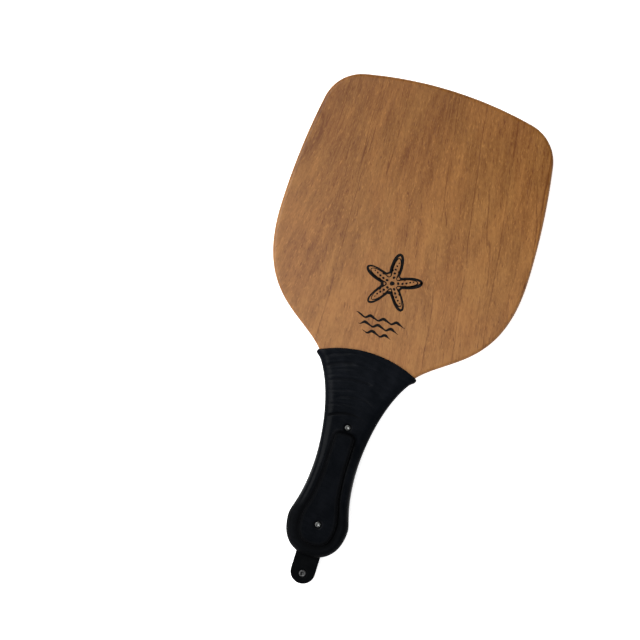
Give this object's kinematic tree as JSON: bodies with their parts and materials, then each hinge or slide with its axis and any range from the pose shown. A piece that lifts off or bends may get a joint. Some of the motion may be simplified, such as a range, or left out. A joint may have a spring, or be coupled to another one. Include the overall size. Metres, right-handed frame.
{
  "type": "frescobol racket",
  "caption": "Plywood beach racket with a broad round-cornered head, a handle under a stretched rubber sleeve, and a riveted rubber hang tab at the butt.",
  "frame": {"origin": "under the middle of the overall length, on the racket's axis, level with the rear face of the grip", "axes": "+Y along the racket's axis towards the top of the head, +Z out of the front face, +X to the right seen from the front with the head up"},
  "size_m": [0.221, 0.4402, 0.025],
  "materials": {
    "face_wood": "satin varnish over reddish brown veneer, grain along the racket",
    "cross_wood": "varnished edge of the crossbands, end grain",
    "core_wood": "varnished edge of the core",
    "scale_wood": "sanded, unvarnished",
    "sleeve_rubber": "matte black butyl rubber with fine folds",
    "tab_rubber": "matte black rubber",
    "rivet_steel": "nickel-plated, lightly worn"
  },
  "bodies": {
    "racket": {"front_veneer": "face_wood", "front_crossband": "cross_wood", "core_ply": "core_wood", "rear_crossband": "cross_wood", "rear_veneer": "face_wood", "front_scale": "scale_wood", "rear_scale": "scale_wood", "grip_sleeve": "sleeve_rubber", "upper_grip_rivet": "rivet_steel", "lower_grip_rivet": "rivet_steel"},
    "tab": {"hang_tab": "tab_rubber", "tab_rivet": "rivet_steel", "tab_rivet_cap": "rivet_steel"}
  },
  "joints": [
    {"name": "tab_flex", "type": "hinge", "parent": "racket", "child": "tab", "pos_m": [0, -0.19525, 0.0125], "axis": [-1, 0, 0], "range_deg": [-80, 80], "stiffness_Nm_per_rad": 0.02, "deforming": ["hang_tab"]}
  ]
}
